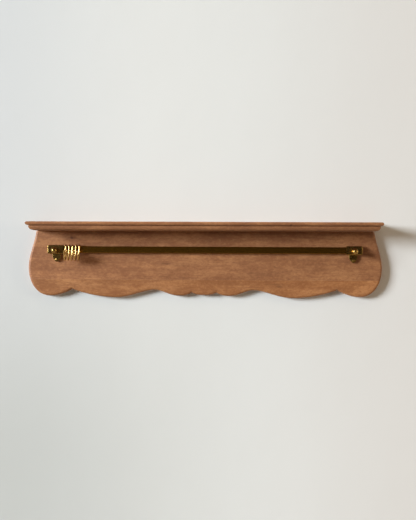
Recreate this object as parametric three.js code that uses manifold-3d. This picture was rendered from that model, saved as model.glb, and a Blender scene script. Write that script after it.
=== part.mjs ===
// Wall shelf with a hook rail: a moulded shelf board on a scalloped backboard, with a flat brass
// rail held by two screwed-on brackets and five S-hooks that slide along it.
// Millimetres. +X is to the right, +Z is up, and the wall is the plane Y = 0, so the front faces -Y.
// The origin is on the back of the backboard, midway along, level with the hanging screws.

import * as THREE from "three";
import { mergeVertices } from "three/addons/utils/BufferGeometryUtils.js";
import Module from "manifold-3d";

// ---- driving dimensions ----

const GLUE_GAP = 0.1; // between glued or seated faces
const FIT = 0.3; // clearance of a pin in its hole, all round
const PAST = 1; // how far a cutter runs past the face it opens

const SHELF = { length: 914, depth: 102, thickness: 22, top: 61 };

// Routed edge of the shelf, as distances in from its nose and heights.
const EDGE = {
  bead: 4.6,
  quirkInset: 9,
  filletInset: 7.4,
  filletDrop: 9.9,
  filletHeight: 6,
  ovoloInset: 8.8,
  lip: 0.5,
  inset: 17,
};

const BOARD = { thickness: 19, roundOver: 6, glueLine: 149.5 };

// Right half of the backboard's outline: distance from the middle, and drop below the shelf's top.
// Each row is a cubic curve on from the last point: two control points, then its end.
const OUTLINE_START = [444.5, 13];
const OUTLINE = [
  [444.5, 46, 465, 80, 465, 119], // flaring side
  [465, 160.5, 441, 193, 408, 193], // round end
  [384, 193, 365, 184, 348.6, 174.8], // up to the outer cusp
  [318, 188, 268, 196.8, 233.7, 196.8], // long scallop
  [196, 196.8, 156, 176.2, 131.1, 176.2], // up to the soft crest
  [110, 176.2, 92, 191.6, 67.4, 191.6], // down to the small scallop
  [52, 191.6, 41, 189, 32.4, 183.2], // up to the inner cusp
  [24, 188, 13, 190, 0, 190], // middle scallop
];

const RAIL = { height: 17, thickness: 4, drop: 71.1, standOff: 6.7, endInset: 3.5, arris: 0.5 };

const BRACKET = {
  centre: 391.2,
  length: 42,
  height: 23,
  cornerRadius: 3,
  baseThickness: 6.5,
  capFront: 12.5,
  capBevel: 1.5,
  tabX: 388.7,
  tabRadius: 11,
  tabDrop: 17.5,
  tipRadius: 5.6,
  tipDrop: 26.6,
  collarRadius: 6,
  collarFront: 15.5,
};

const BALL = {
  drop: 2.5,
  radius: 8.5,
  centre: 28.5,
  shankRadius: 2.2,
  tip: 1.4,
  neckRadius: 3.2,
  flangeRadius: 5.2,
  flange: 1.1,
};

const HOOK = {
  count: 5,
  firstX: -363.9,
  pitch: 8.9,
  wireRadius: 1.9,
  topRadius: 4.2,
  topCentre: 7.4,
  rearTip: -2,
  stemLean: 0.14, // radians by which the stem runs outwards on its way down
  stemLength: 11,
  // From the stem's foot to the bottom of the bowl, then up to the front arm: cubic curves in
  // distance from the backboard and height above the rail's middle.
  bowl: [
    [16.2, -15.8, 18.7, -28.6, 25, -28.6],
    [32.1, -28.6, 35.3, -20.8, 37.1, -11.5],
  ],
  frontTip: [38.7, -3.7],
};

const WOOD_SCREW = { headRadius: 3.8, headHeight: 2.3, shankRadius: 1.8, length: 14, sink: 0.4 };
const HIDDEN_SCREW_OFFSET = 13;
const TAB_SCREW_DROP = 26;
const TAB_SCREW_DOME = 1.3;

const DOWEL = { radius: 4, inShelf: 14, inBoard: 20, at: [-380, -130, 130, 380] };

const KEYHOLE = {
  x: 300,
  plateWidth: 16,
  plateHeight: 50,
  plateThickness: 2,
  cornerRadius: 3,
  entryRadius: 5,
  slotRadius: 2.6,
  slotRise: 12,
  pocketRadius: 6.5,
  pocketDepth: 9,
  screwSpacing: 38,
};
const PLATE_SCREW = { headRadius: 3.2, headHeight: 1.8, shankRadius: 1.5, length: 12 };

// ---- places worked out from them ----

const boardFront = -BOARD.thickness;
const underside = SHELF.top - SHELF.thickness;
const railZ = SHELF.top - RAIL.drop;
const ballZ = railZ - BALL.drop;
const glueZ = SHELF.top - BOARD.glueLine;
const screwSeatDistance = BOARD.thickness + BRACKET.baseThickness - WOOD_SCREW.sink;
const plateZ = -(KEYHOLE.slotRise + KEYHOLE.slotRadius) / 2;

const RIGHT = new THREE.Vector3(1, 0, 0);
const UP = new THREE.Vector3(0, 0, 1);
const OUT = new THREE.Vector3(0, -1, 0);

const wasm = await Module();
wasm.setup();

// ---- solids ----

// A closed three.js geometry as a solid that can be cut and joined.
function solidOf(geometry) {
  const bare = geometry.clone();
  bare.deleteAttribute("normal");
  bare.deleteAttribute("uv");
  const merged = mergeVertices(bare, 1e-4);
  const mesh = new wasm.Mesh({
    numProp: 3,
    vertProperties: merged.attributes.position.array,
    triVerts: new Uint32Array(merged.index.array),
  });
  return new wasm.Manifold(mesh);
}

function geometryOf(solid) {
  const { vertProperties, triVerts } = solid.getMesh();
  const geometry = new THREE.BufferGeometry();
  geometry.setAttribute("position", new THREE.BufferAttribute(vertProperties, 3));
  geometry.setIndex(new THREE.BufferAttribute(triVerts, 1));
  geometry.computeVertexNormals();
  return geometry;
}

// Turns a flat shape's extrusion so that its x runs along `across`, its y along `up`.
function place(geometry, across, up, origin) {
  const along = new THREE.Vector3().crossVectors(across, up);
  const turn = new THREE.Matrix4().makeBasis(across, up, along).setPosition(origin);
  return geometry.applyMatrix4(turn);
}

// A shape drawn in X and Z, standing out from the wall between two distances from it.
function slab(shape, near, far, curveSegments = 8) {
  const geometry = new THREE.ExtrudeGeometry(shape, {
    depth: far - near,
    bevelEnabled: false,
    curveSegments,
  });
  return solidOf(place(geometry, RIGHT, UP, new THREE.Vector3(0, -near, 0)));
}

// The same with a rounded edge of one radius at both faces.
function roundedSlab(shape, near, far, radius, curveSegments = 8) {
  const geometry = new THREE.ExtrudeGeometry(shape, {
    depth: far - near - 2 * radius,
    bevelEnabled: true,
    bevelThickness: radius,
    bevelSize: radius,
    bevelOffset: -radius,
    bevelSegments: 2,
    curveSegments,
  });
  return solidOf(place(geometry, RIGHT, UP, new THREE.Vector3(0, -near - radius, 0)));
}

function box(low, high) {
  const size = new THREE.Vector3().subVectors(high, low);
  const geometry = new THREE.BoxGeometry(size.x, size.y, size.z);
  geometry.translate(...new THREE.Vector3().addVectors(low, high).multiplyScalar(0.5));
  return solidOf(geometry);
}

// A profile of [radius, distance] points turned round an axis that leads out from the wall.
function turned(profile, x, wallDistance, z, segments = 20) {
  const points = profile.map(([radius, distance]) => new THREE.Vector2(radius, distance));
  const geometry = new THREE.LatheGeometry(points, segments);
  geometry.rotateX(Math.PI);
  geometry.translate(x, -wallDistance, z);
  return solidOf(geometry);
}

function drill(radius, x, z, near, far, segments = 20) {
  const profile = [
    [0, near],
    [radius, near],
    [radius, far],
    [0, far],
  ];
  return turned(profile, x, 0, z, segments);
}

function roundedRectangle(x, z, width, height, radius) {
  const shape = new THREE.Shape();
  const right = x + width / 2 - radius;
  const left = x - width / 2 + radius;
  const top = z + height / 2 - radius;
  const bottom = z - height / 2 + radius;
  const quarter = Math.PI / 2;
  shape.absarc(right, bottom, radius, -quarter, 0);
  shape.absarc(right, top, radius, 0, quarter);
  shape.absarc(left, top, radius, quarter, 2 * quarter);
  shape.absarc(left, bottom, radius, 2 * quarter, 3 * quarter);
  shape.closePath();
  return shape;
}

// A slot with round ends, standing upright.
function uprightSlot(x, low, high, radius) {
  const shape = new THREE.Shape();
  shape.absarc(x, low, radius, Math.PI, 2 * Math.PI);
  shape.absarc(x, high, radius, 0, Math.PI);
  shape.closePath();
  return shape;
}

// ---- materials ----

const wood = new THREE.MeshStandardMaterial({ color: 0xa0704c, roughness: 0.6, metalness: 0 });
const paleWood = new THREE.MeshStandardMaterial({ color: 0xaa7850, roughness: 0.6, metalness: 0 });
const beech = new THREE.MeshStandardMaterial({ color: 0xcaa777, roughness: 0.7, metalness: 0 });
const railBrass = new THREE.MeshStandardMaterial({ color: 0x5a431c, roughness: 0.4, metalness: 1 });
const agedBrass = new THREE.MeshStandardMaterial({ color: 0x7c6438, roughness: 0.4, metalness: 1 });
const hookBrass = new THREE.MeshStandardMaterial({ color: 0xc09a58, roughness: 0.3, metalness: 1 });
const zinc = new THREE.MeshStandardMaterial({ color: 0xa9a9a6, roughness: 0.45, metalness: 1 });

const shelfWithRail = new THREE.Group();

function add(name, geometry, material, parent = shelfWithRail) {
  const mesh = new THREE.Mesh(geometry, material);
  mesh.name = name;
  parent.add(mesh);
  return mesh;
}

// ---- shelf board ----

// The routed edge from the underside up: a lip, an ovolo, a fillet, a quirk and a round bead.
// x is 0 at the nose and negative inwards, y is the height above the underside.
function routedEdge() {
  const { bead, quirkInset, filletInset, ovoloInset, lip, inset } = EDGE;
  const filletTop = SHELF.thickness - EDGE.filletDrop;
  const ovoloTop = filletTop - EDGE.filletHeight;
  const path = new THREE.Path();
  path.moveTo(-inset, 0);
  path.lineTo(-inset, lip);
  path.absellipse(-inset, ovoloTop, inset - ovoloInset, ovoloTop - lip, -Math.PI / 2, 0);
  path.lineTo(-filletInset, ovoloTop);
  path.lineTo(-filletInset, filletTop);
  path.lineTo(-quirkInset, filletTop);
  path.lineTo(-quirkInset, SHELF.thickness - 2 * bead);
  path.absarc(-bead, SHELF.thickness - bead, bead, -Math.PI / 2, Math.PI / 2);
  return path.getPoints(8);
}

// The front and the two ends carry the same edge, so the board is where a front-to-back section
// run along the shelf meets an end-to-end section run out from the wall. The corners mitre.
function shelfBoard() {
  const edge = routedEdge();
  const half = SHELF.length / 2;
  const sideSection = new THREE.Shape([
    new THREE.Vector2(0, 0),
    ...edge.map((p) => new THREE.Vector2(SHELF.depth + p.x, p.y)),
    new THREE.Vector2(0, SHELF.thickness),
  ]);
  const frontSection = new THREE.Shape([
    ...edge.map((p) => new THREE.Vector2(half + p.x, p.y)),
    ...edge.map((p) => new THREE.Vector2(-half - p.x, p.y)).reverse(),
  ]);
  const plain = { bevelEnabled: false };
  const along = new THREE.ExtrudeGeometry(sideSection, { depth: SHELF.length + 2 * PAST, ...plain });
  const outward = new THREE.ExtrudeGeometry(frontSection, { depth: SHELF.depth + 2 * PAST, ...plain });
  place(along, OUT, UP, new THREE.Vector3(half + PAST, 0, underside));
  place(outward, RIGHT, UP, new THREE.Vector3(0, PAST, underside));
  let board = solidOf(along).intersect(solidOf(outward));
  for (const x of DOWEL.at) {
    board = board.subtract(dowelHole(x));
  }
  return geometryOf(board);
}

// ---- dowels between the shelf board and the backboard ----

function uprightPin(x, radius, low, high) {
  const geometry = new THREE.CylinderGeometry(radius, radius, high - low, 16);
  geometry.rotateX(Math.PI / 2);
  geometry.translate(x, boardFront / 2, (low + high) / 2);
  return geometry;
}

function dowelHole(x) {
  const low = underside - DOWEL.inBoard - PAST;
  const high = underside + DOWEL.inShelf + PAST;
  return solidOf(uprightPin(x, DOWEL.radius + FIT, low, high));
}

function dowel(x) {
  const low = underside - DOWEL.inBoard;
  return uprightPin(x, DOWEL.radius, low, underside + DOWEL.inShelf);
}

// ---- backboard: two planks edge-glued, then cut to the scalloped outline ----

function backboardShape() {
  const shape = new THREE.Shape();
  const level = (drop) => SHELF.top - drop;
  const [startX, startDrop] = OUTLINE_START;
  shape.moveTo(-startX, level(startDrop));
  for (const [ax, az, bx, bz, x, z] of OUTLINE) {
    shape.bezierCurveTo(-ax, level(az), -bx, level(bz), -x, level(z));
  }
  const points = [OUTLINE_START, ...OUTLINE.map((row) => row.slice(4))];
  for (let i = OUTLINE.length - 1; i >= 0; i--) {
    const [ax, az, bx, bz] = OUTLINE[i];
    const [x, z] = points[i];
    shape.bezierCurveTo(bx, level(bz), ax, level(az), x, level(z));
  }
  shape.closePath();
  return shape;
}

// Flat at the back, with only the front edge rounded over.
function backboard() {
  const { thickness, roundOver } = BOARD;
  const reach = SHELF.length;
  const behind = box(new THREE.Vector3(-reach, 0, -reach), new THREE.Vector3(reach, reach, reach));
  return roundedSlab(backboardShape(), -2 * roundOver, thickness, roundOver, 7).subtract(behind);
}

const wholeBoard = backboard();

// The part of the whole board between two levels, with its screw holes.
function plank(low, high) {
  const reach = SHELF.length;
  const cutter = box(new THREE.Vector3(-reach, -reach, low), new THREE.Vector3(reach, reach, high));
  return wholeBoard.intersect(cutter);
}

function upperPlank() {
  let solid = plank(glueZ + GLUE_GAP / 2, underside - GLUE_GAP);
  for (const x of DOWEL.at) {
    solid = solid.subtract(dowelHole(x));
  }
  for (const side of [-1, 1]) {
    solid = solid.subtract(hangerPocket(side));
    for (const [x, z] of bracketScrewPlaces(side)) {
      const near = screwSeatDistance - WOOD_SCREW.length - PAST;
      const hole = drill(WOOD_SCREW.shankRadius + FIT, x, z, near, BOARD.thickness + PAST, 12);
      solid = solid.subtract(hole);
    }
  }
  return geometryOf(solid);
}

// ---- rail ----

function railBar() {
  const half = BRACKET.centre + BRACKET.length / 2 - RAIL.endInset;
  const back = BOARD.thickness + RAIL.standOff;
  const shape = new THREE.Shape();
  shape.moveTo(-half, railZ - RAIL.height / 2);
  shape.lineTo(half, railZ - RAIL.height / 2);
  shape.lineTo(half, railZ + RAIL.height / 2);
  shape.lineTo(-half, railZ + RAIL.height / 2);
  const front = back + RAIL.thickness;
  let bar = roundedSlab(shape, back, front, RAIL.arris);
  for (const side of [-1, 1]) {
    const x = side * BRACKET.centre;
    bar = bar.subtract(drill(BALL.shankRadius + FIT, x, ballZ, back - PAST, front + PAST));
  }
  return geometryOf(bar);
}

// ---- brackets ----

function bracketScrewPlaces(side) {
  const x = side * BRACKET.centre;
  return [
    [x - side * HIDDEN_SCREW_OFFSET, railZ],
    [side * BRACKET.tabX, railZ - TAB_SCREW_DROP],
  ];
}

// The block's outline, which may be carried on past its inner end.
function blockShape(side, extra = 0) {
  const x = side * (BRACKET.centre - extra / 2);
  return roundedRectangle(x, railZ, BRACKET.length + extra, BRACKET.height, BRACKET.cornerRadius);
}

// Head and shank of a countersunk screw: [radius, distance behind the seat's face].
function screwProfile({ headRadius, headHeight, shankRadius, length }, grow = 0, dome = 0) {
  const cone = headRadius - shankRadius;
  return [
    [0, -length - grow],
    [shankRadius * 0.4 + grow, -length - grow],
    [shankRadius + grow, -length + 3],
    [shankRadius + grow, -headHeight],
    [shankRadius + grow + cone, -0.2],
    [headRadius + grow, 0],
    ...(dome ? [[headRadius * 0.62, dome * 0.7]] : []),
    [0, grow ? 0.5 : dome],
  ];
}

// Cutter for the seat: the same shape, grown, with the mouth carried past the face.
function screwSeat(screw, x, wallDistance, z) {
  const cutter = turned(screwProfile(screw, FIT), x, wallDistance, z, 16);
  const mouth = drill(screw.headRadius + FIT, x, z, wallDistance - 0.1, wallDistance + PAST, 16);
  return cutter.add(mouth);
}

// A tongue that hangs from the block and tapers to a small round tip.
function tabShape(side) {
  const { tabRadius, tabDrop, tipRadius, tipDrop } = BRACKET;
  const x = side * BRACKET.tabX;
  const taper = Math.asin((tabRadius - tipRadius) / (tipDrop - tabDrop));
  const [left, right] = [Math.PI, 2 * Math.PI];
  const tab = new THREE.Shape();
  tab.moveTo(x + tabRadius, railZ);
  tab.lineTo(x - tabRadius, railZ);
  tab.absarc(x, railZ - tabDrop, tabRadius, left, left + taper);
  tab.absarc(x, railZ - tipDrop, tipRadius, left + taper, right - taper);
  tab.absarc(x, railZ - tabDrop, tabRadius, right - taper, right);
  tab.closePath();
  return tab;
}

// A flat plate behind the rail's end, with the tab below it for the visible screw.
function bracketBase(side) {
  const near = BOARD.thickness + GLUE_GAP;
  const far = BOARD.thickness + BRACKET.baseThickness;
  let solid = slab(blockShape(side), near, far, 4).add(slab(tabShape(side), near, far, 5));
  for (const [sx, sz] of bracketScrewPlaces(side)) {
    solid = solid.subtract(screwSeat(WOOD_SCREW, sx, screwSeatDistance, sz));
  }
  const tip = BOARD.thickness + BALL.tip - FIT;
  const bore = drill(BALL.shankRadius + FIT, side * BRACKET.centre, ballZ, tip, far + PAST);
  return geometryOf(solid.subtract(bore));
}

// A box between two distances along the rail, given in either order, and from the wall outwards.
function railwiseBox(xs, far, halfHeight) {
  const low = new THREE.Vector3(Math.min(...xs), -far, railZ - halfHeight);
  return box(low, new THREE.Vector3(Math.max(...xs), 0, railZ + halfHeight));
}

// A cover over the rail's end: a channel closed at its outer end, with a collar for the ball screw.
// Its outer end and its sides are rounded over, and its inner end is cut square.
function railCap(side) {
  const x = side * BRACKET.centre;
  const near = BOARD.thickness + BRACKET.baseThickness + GLUE_GAP;
  const far = BOARD.thickness + BRACKET.capFront;
  const collarFront = BOARD.thickness + BRACKET.collarFront;
  const extra = BRACKET.cornerRadius + BRACKET.capBevel;
  const buried = near - 2 * BRACKET.capBevel;
  const reach = BRACKET.length;
  const innerEnd = x - (side * BRACKET.length) / 2;
  const outerEnd = x + side * (BRACKET.length / 2 - RAIL.endInset + FIT);
  const channelFront = BOARD.thickness + RAIL.standOff + RAIL.thickness + FIT;
  const block = roundedSlab(blockShape(side, extra), buried, far, BRACKET.capBevel, 4)
    .subtract(railwiseBox([x - reach, x + reach], near, reach))
    .subtract(railwiseBox([innerEnd, innerEnd - side * reach], far + PAST, reach))
    .add(drill(BRACKET.collarRadius, x, ballZ, far - PAST, collarFront));
  const channel = railwiseBox([innerEnd - side, outerEnd], channelFront, RAIL.height / 2 + FIT);
  const bore = drill(BALL.shankRadius + FIT, x, ballZ, near, collarFront + PAST);
  return geometryOf(block.subtract(channel).subtract(bore));
}

// A turned screw whose head is a ball on a short neck. Its shank clamps cap and rail to the base.
function ballScrew(side) {
  const { radius, centre, shankRadius, tip, neckRadius, flangeRadius, flange } = BALL;
  const shoulder = BRACKET.collarFront + GLUE_GAP;
  const start = -Math.acos(neckRadius / radius);
  const steps = 12;
  const ball = [];
  for (let i = 0; i <= steps; i++) {
    const angle = start + ((Math.PI / 2 - start) * i) / steps;
    ball.push([i === steps ? 0 : radius * Math.cos(angle), centre + radius * Math.sin(angle)]);
  }
  const profile = [
    [0, tip],
    [shankRadius, tip],
    [shankRadius, shoulder],
    [flangeRadius, shoulder],
    [flangeRadius, shoulder + flange],
    [neckRadius, shoulder + 2 * flange],
    ...ball,
  ];
  return geometryOf(turned(profile, side * BRACKET.centre, BOARD.thickness, ballZ, 24));
}

function bracketScrew(x, z, dome) {
  return geometryOf(turned(screwProfile(WOOD_SCREW, 0, dome), x, screwSeatDistance, z, 16));
}

// ---- S-hooks ----

// The wire's centre line, drawn with x as distance from the backboard and z up from the rail.
class HookLine extends THREE.Curve {
  constructor() {
    super();
    const top = RAIL.standOff + RAIL.thickness / 2;
    const line = new THREE.Path();
    line.moveTo(top - HOOK.topRadius, HOOK.rearTip);
    line.absarc(top, HOOK.topCentre, HOOK.topRadius, Math.PI, HOOK.stemLean, true);
    const down = new THREE.Vector2(Math.sin(HOOK.stemLean), -Math.cos(HOOK.stemLean));
    const foot = line.currentPoint.clone().addScaledVector(down, HOOK.stemLength);
    line.lineTo(foot.x, foot.y);
    for (const row of HOOK.bowl) {
      line.bezierCurveTo(...row);
    }
    line.lineTo(...HOOK.frontTip);
    this.line = line;
  }
  getPoint(t, target = new THREE.Vector3()) {
    const p = this.line.getPoint(t);
    return target.set(0, boardFront - p.x, railZ + p.y);
  }
}

function hook(x) {
  const line = new HookLine();
  const section = new THREE.Shape();
  section.absarc(0, 0, HOOK.wireRadius, 0, 2 * Math.PI);
  const wire = new THREE.ExtrudeGeometry(section, { steps: 42, extrudePath: line, curveSegments: 4 });
  let solid = solidOf(wire);
  for (const t of [0, 1]) {
    const end = new THREE.SphereGeometry(HOOK.wireRadius * 0.98, 8, 6);
    end.rotateX(Math.PI / 2);
    end.translate(...line.getPoint(t));
    solid = solid.add(solidOf(end));
  }
  return geometryOf(solid).translate(x, 0, 0);
}

// ---- keyhole hangers let into the back ----

function plateScrewLevels() {
  return [-1, 1].map((end) => plateZ + (end * KEYHOLE.screwSpacing) / 2);
}

function keyholeShape(side, grow) {
  const low = -KEYHOLE.slotRise - KEYHOLE.slotRadius;
  return uprightSlot(side * KEYHOLE.x, low, 0, grow);
}

// Recess for the plate, and a deeper pocket for the head of the wall screw.
function hangerPocket(side) {
  const x = side * KEYHOLE.x;
  const { plateWidth, plateHeight, plateThickness, pocketRadius, pocketDepth } = KEYHOLE;
  const width = plateWidth + 2 * FIT;
  const height = plateHeight + 2 * FIT;
  const recess = roundedRectangle(x, plateZ, width, height, KEYHOLE.cornerRadius);
  const pilotEnd = PLATE_SCREW.length + PAST;
  let cutter = slab(recess, -PAST, plateThickness + GLUE_GAP, 4);
  cutter = cutter.add(slab(keyholeShape(side, pocketRadius), -PAST, pocketDepth, 6));
  for (const z of plateScrewLevels()) {
    cutter = cutter.add(drill(PLATE_SCREW.shankRadius + FIT, x, z, -PAST, pilotEnd, 12));
  }
  return cutter;
}

// A screw that goes in from the back, so it is the turned profile the other way round.
function backScrew(profile, x, z) {
  const points = profile.map(([radius, distance]) => new THREE.Vector2(radius, distance));
  const geometry = new THREE.LatheGeometry(points, 14);
  return solidOf(geometry.translate(x, 0, z));
}

function keyholePlate(side) {
  const x = side * KEYHOLE.x;
  const { plateWidth, plateHeight, plateThickness, entryRadius, slotRadius, slotRise } = KEYHOLE;
  const outline = roundedRectangle(x, plateZ, plateWidth, plateHeight, KEYHOLE.cornerRadius);
  const through = plateThickness + PAST;
  let plate = slab(outline, 0, plateThickness, 4);
  plate = plate.subtract(slab(keyholeShape(side, slotRadius), -PAST, through, 6));
  plate = plate.subtract(drill(entryRadius, x, -slotRise - slotRadius, -PAST, through));
  for (const z of plateScrewLevels()) {
    plate = plate.subtract(backScrew(screwProfile(PLATE_SCREW, FIT), x, z));
  }
  return geometryOf(plate);
}

// ---- assembly ----

add("shelf_board", shelfBoard(), wood);
add("backboard_upper_plank", upperPlank(), wood);
add("backboard_lower_plank", geometryOf(plank(-SHELF.length, glueZ - GLUE_GAP / 2)), paleWood);
DOWEL.at.forEach((x, i) => add(`shelf_dowel_${i + 1}`, dowel(x), beech));
add("rail_bar", railBar(), railBrass);

for (const [name, side] of [
  ["left", -1],
  ["right", 1],
]) {
  const [hidden, visible] = bracketScrewPlaces(side);
  add(`${name}_bracket_base`, bracketBase(side), agedBrass);
  add(`${name}_rail_cap`, railCap(side), agedBrass);
  add(`${name}_ball_screw`, ballScrew(side), agedBrass);
  add(`${name}_tab_screw`, bracketScrew(...visible, TAB_SCREW_DOME), agedBrass);
  add(`${name}_hidden_screw`, bracketScrew(...hidden, 0), agedBrass);
  add(`${name}_keyhole_plate`, keyholePlate(side), zinc);
  plateScrewLevels().forEach((z, i) => {
    const screw = backScrew(screwProfile(PLATE_SCREW), side * KEYHOLE.x, z);
    add(`${name}_keyhole_screw_${i + 1}`, geometryOf(screw), zinc);
  });
}

for (let i = 0; i < HOOK.count; i++) {
  add(`s_hook_${i + 1}`, hook(HOOK.firstX + i * HOOK.pitch), hookBrass);
}

export default shelfWithRail;
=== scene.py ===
import math

import bmesh
import bpy
from mathutils import Matrix, Vector


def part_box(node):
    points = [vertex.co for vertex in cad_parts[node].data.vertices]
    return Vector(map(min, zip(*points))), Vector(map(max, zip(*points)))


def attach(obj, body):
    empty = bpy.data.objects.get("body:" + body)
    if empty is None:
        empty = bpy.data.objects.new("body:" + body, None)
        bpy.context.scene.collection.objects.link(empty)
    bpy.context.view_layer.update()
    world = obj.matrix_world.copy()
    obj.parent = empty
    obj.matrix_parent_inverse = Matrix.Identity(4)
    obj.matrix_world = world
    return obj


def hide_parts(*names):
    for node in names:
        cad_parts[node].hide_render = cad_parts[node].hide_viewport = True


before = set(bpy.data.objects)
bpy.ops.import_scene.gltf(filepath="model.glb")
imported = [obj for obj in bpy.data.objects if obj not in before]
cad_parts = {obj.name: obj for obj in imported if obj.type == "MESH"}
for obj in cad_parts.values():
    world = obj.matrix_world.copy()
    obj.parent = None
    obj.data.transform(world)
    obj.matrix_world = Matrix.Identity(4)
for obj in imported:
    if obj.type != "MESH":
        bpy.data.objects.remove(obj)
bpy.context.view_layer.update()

mm = 0.001
mainBody = "shelf"

# what the frame says about where things are
shelfLow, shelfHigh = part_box("shelf_board")
upperLow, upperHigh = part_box("backboard_upper_plank")
lowerLow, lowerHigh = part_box("backboard_lower_plank")
railLow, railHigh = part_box("rail_bar")
railZ = (railLow.z + railHigh.z) / 2
boardFront = upperLow.y  # the front face of the backboard, facing -Y


# camera, lights and the wall behind

cameraPlan = {
    "place": (0.0863, -2.523, -0.0339), "turnLeft": 1.754, "tiltUp": -0.054, "roll": 0.252,
    "lens": 66.04, "sensor": 36.0,
}


def makeCamera(plan):
    data = bpy.data.cameras.new("camera")
    data.lens = plan["lens"]
    data.sensor_width = plan["sensor"]
    camera = bpy.data.objects.new("camera", data)
    bpy.context.scene.collection.objects.link(camera)
    turn = Matrix.Rotation(math.radians(plan["turnLeft"]), 4, "Z")
    tilt = Matrix.Rotation(math.radians(90 + plan["tiltUp"]), 4, "X")
    roll = Matrix.Rotation(math.radians(plan["roll"]), 4, "Z")
    camera.matrix_world = Matrix.Translation(plan["place"]) @ turn @ tilt @ roll
    bpy.context.scene.camera = camera


lightPlan = {
    "key": {
        "from": (-1.75, -1.0, 0.37), "distance": 16.0, "size": (5.0, 4.4),
        "watts": 3850.0, "colour": (0.92, 0.97, 1.0),
    },
    "right": {
        "from": (2.6, -1.0, 0.3), "distance": 6.0, "size": (1.0, 2.0),
        "watts": 62.0, "colour": (1.0, 0.82, 0.6),
    },
    "back": {
        "from": (-0.6, 1.0, 0.7), "distance": 6.0, "size": (3.0, 3.0),
        "watts": 260.0, "colour": (1.0, 0.99, 0.97),
    },
}


def makeLight(name, plan):
    data = bpy.data.lights.new(name, "AREA")
    data.shape = "RECTANGLE"
    data.size, data.size_y = plan["size"]
    data.energy = plan["watts"]
    data.color = plan["colour"]
    light = bpy.data.objects.new(name, data)
    bpy.context.scene.collection.objects.link(light)
    towards = Vector(plan["from"]).normalized()
    light.location = towards * plan["distance"]
    light.rotation_euler = towards.to_track_quat("Z", "Y").to_euler()


# small helpers for node trees

def feed(tree, socket, value):
    if hasattr(value, "is_output"):
        tree.links.new(value, socket)
    elif socket.type == "RGBA":
        socket.default_value = (*value[:3], 1.0)
    else:
        socket.default_value = value


def addNode(tree, kind, inputs=None, **settings):
    node = tree.nodes.new(kind)
    for key, value in settings.items():
        setattr(node, key, value)
    for key, value in (inputs or {}).items():
        feed(tree, node.inputs[key], value)
    return node


def maths(tree, operation, a, b=0.0, clamp=False):
    inputs = {0: a, 1: b}
    return addNode(tree, "ShaderNodeMath", inputs, operation=operation, use_clamp=clamp).outputs[0]


def times(tree, a, b, clamp=False):
    return maths(tree, "MULTIPLY", a, b, clamp)


def vectorMaths(tree, operation, a, b=(0.0, 0.0, 0.0)):
    node = addNode(tree, "ShaderNodeVectorMath", {0: a, 1: b}, operation=operation)
    return node.outputs["Value" if operation in ("LENGTH", "DOT_PRODUCT") else "Vector"]


def scaledVector(tree, vector, scale):
    inputs = {0: vector, "Scale": scale}
    return addNode(tree, "ShaderNodeVectorMath", inputs, operation="SCALE").outputs["Vector"]


def ranged(tree, value, low, high, toLow=0.0, toHigh=1.0, smooth=False):
    inputs = {"Value": value, "From Min": low, "From Max": high, "To Min": toLow, "To Max": toHigh}
    kind = "SMOOTHSTEP" if smooth else "LINEAR"
    return addNode(tree, "ShaderNodeMapRange", inputs, interpolation_type=kind).outputs["Result"]


# the mix node keeps the sockets of every data type: colours are numbers 6 and 7, and output 2
def mixColour(tree, factor, a, b):
    inputs = {0: factor, 6: a, 7: b}
    return addNode(tree, "ShaderNodeMix", inputs, data_type="RGBA").outputs[2]


def noise(tree, vector, scale, detail=3.0, roughness=0.5):
    inputs = {"Vector": vector, "Scale": scale, "Detail": detail, "Roughness": roughness}
    return addNode(tree, "ShaderNodeTexNoise", inputs).outputs["Fac"]


# noise whose scale differs along X, Y and Z, so that it comes out as streaks
def streaky(tree, vector, scale, detail=3.0, roughness=0.5, shift=(0, 0, 0)):
    inputs = {"Vector": vector, "Scale": scale, "Location": shift}
    drawnOut = addNode(tree, "ShaderNodeMapping", inputs).outputs[0]
    return noise(tree, drawnOut, 1.0, detail, roughness)


def bumpOf(tree, height, strength, distance):
    inputs = {"Height": height, "Strength": strength, "Distance": distance}
    return addNode(tree, "ShaderNodeBump", inputs).outputs[0]


def newGroup(name, inputs, outputs):
    tree = bpy.data.node_groups.new(name, "ShaderNodeTree")
    for label, kind, value in inputs:
        socket = tree.interface.new_socket(name=label, in_out="INPUT", socket_type=kind)
        if value is not None:
            socket.default_value = value
    for label in outputs:
        tree.interface.new_socket(name=label, in_out="OUTPUT", socket_type=floatSocket)
    return tree, tree.nodes.new("NodeGroupInput").outputs, tree.nodes.new("NodeGroupOutput")


def useGroup(tree, group, inputs):
    node = tree.nodes.new("ShaderNodeGroup")
    node.node_tree = group
    for key, value in inputs.items():
        feed(tree, node.inputs[key], value)
    return node.outputs


def newMaterial(name, **constants):
    material = bpy.data.materials.new(name)
    material.use_nodes = True
    tree = material.node_tree
    shader = next(n for n in tree.nodes if n.type == "BSDF_PRINCIPLED")
    for key, value in constants.items():
        shader.inputs[key.replace("_", " ")].default_value = value
    spot = tree.nodes.new("ShaderNodeTexCoord").outputs["Object"]
    return material, tree, shader, spot


floatSocket, vectorSocket = "NodeSocketFloat", "NodeSocketVector"


# shared effects

def edgeWearGroup():
    inputs = [
        ("Width", floatSocket, 0.001), ("Strength", floatSocket, 1.0), ("Vector", vectorSocket, None),
    ]
    tree, start, end = newGroup("edgeWear", inputs, ["Mask"])
    rounded = addNode(tree, "ShaderNodeBevel", {"Radius": start["Width"]}, samples=6).outputs[0]
    plain = addNode(tree, "ShaderNodeNewGeometry").outputs["Normal"]
    edge = ranged(tree, vectorMaths(tree, "DOT_PRODUCT", rounded, plain), 0.995, 0.86)
    broken = ranged(tree, noise(tree, start["Vector"], 160.0), 0.35, 0.62)
    worn = times(tree, times(tree, edge, broken), start["Strength"], clamp=True)
    tree.links.new(worn, end.inputs["Mask"])
    return tree


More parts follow.
